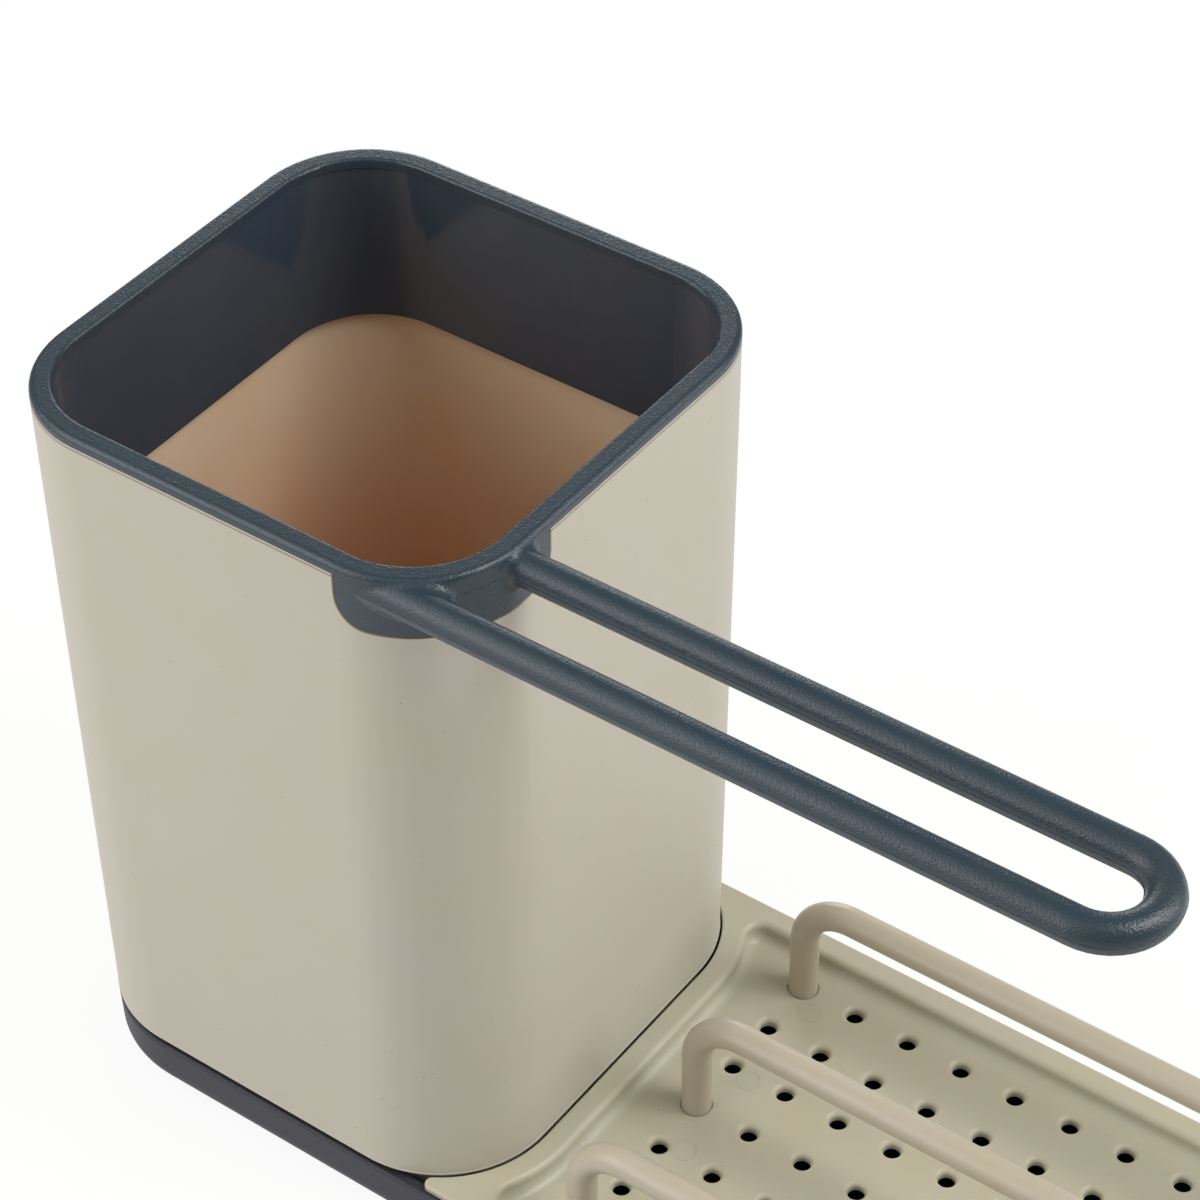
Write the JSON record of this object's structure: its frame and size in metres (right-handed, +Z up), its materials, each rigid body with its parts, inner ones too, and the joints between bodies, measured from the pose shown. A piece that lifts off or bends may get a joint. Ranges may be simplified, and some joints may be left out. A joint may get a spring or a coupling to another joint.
{
  "type": "sink organizer",
  "caption": "Free-standing sink organizer: a long tray with a tall brush pot, a cantilevered cloth rail on its rim collar and a perforated sponge stand with bars.",
  "frame": {"origin": "on the surface the feet stand on, midway along the length and the width", "axes": "+Z up, +X from the pot along the tray, +Y away from the side that carries the cloth rail"},
  "size_m": [0.266, 0.1, 0.1611],
  "materials": {
    "slate_tray": "matte",
    "cream_pot": "matte",
    "slate_rim": "satin",
    "cream_insert": "matte",
    "cream_bar": "satin",
    "grey_foot": "matte"
  },
  "bodies": {
    "base": {"base_tray": "slate_tray", "foot_left_front": "grey_foot", "foot_left_back": "grey_foot", "foot_right_front": "grey_foot", "foot_right_back": "grey_foot"},
    "pot": {"brush_pot": "cream_pot"},
    "collar": {"rim_collar": "slate_rim"},
    "insert": {"drain_insert": "cream_insert", "bar_front": "cream_bar", "bar_middle": "cream_bar", "bar_back": "cream_bar"}
  },
  "joints": [
    {"name": "pot_lift", "type": "slide", "parent": "base", "child": "pot", "axis": [0, 0, 1], "range_m": [0, 0.06]},
    {"name": "collar_lift", "type": "slide", "parent": "pot", "child": "collar", "axis": [0, 0, 1], "range_m": [0, 0.05]},
    {"name": "insert_lift", "type": "slide", "parent": "base", "child": "insert", "axis": [0, 0, 1], "range_m": [0, 0.02]}
  ]
}
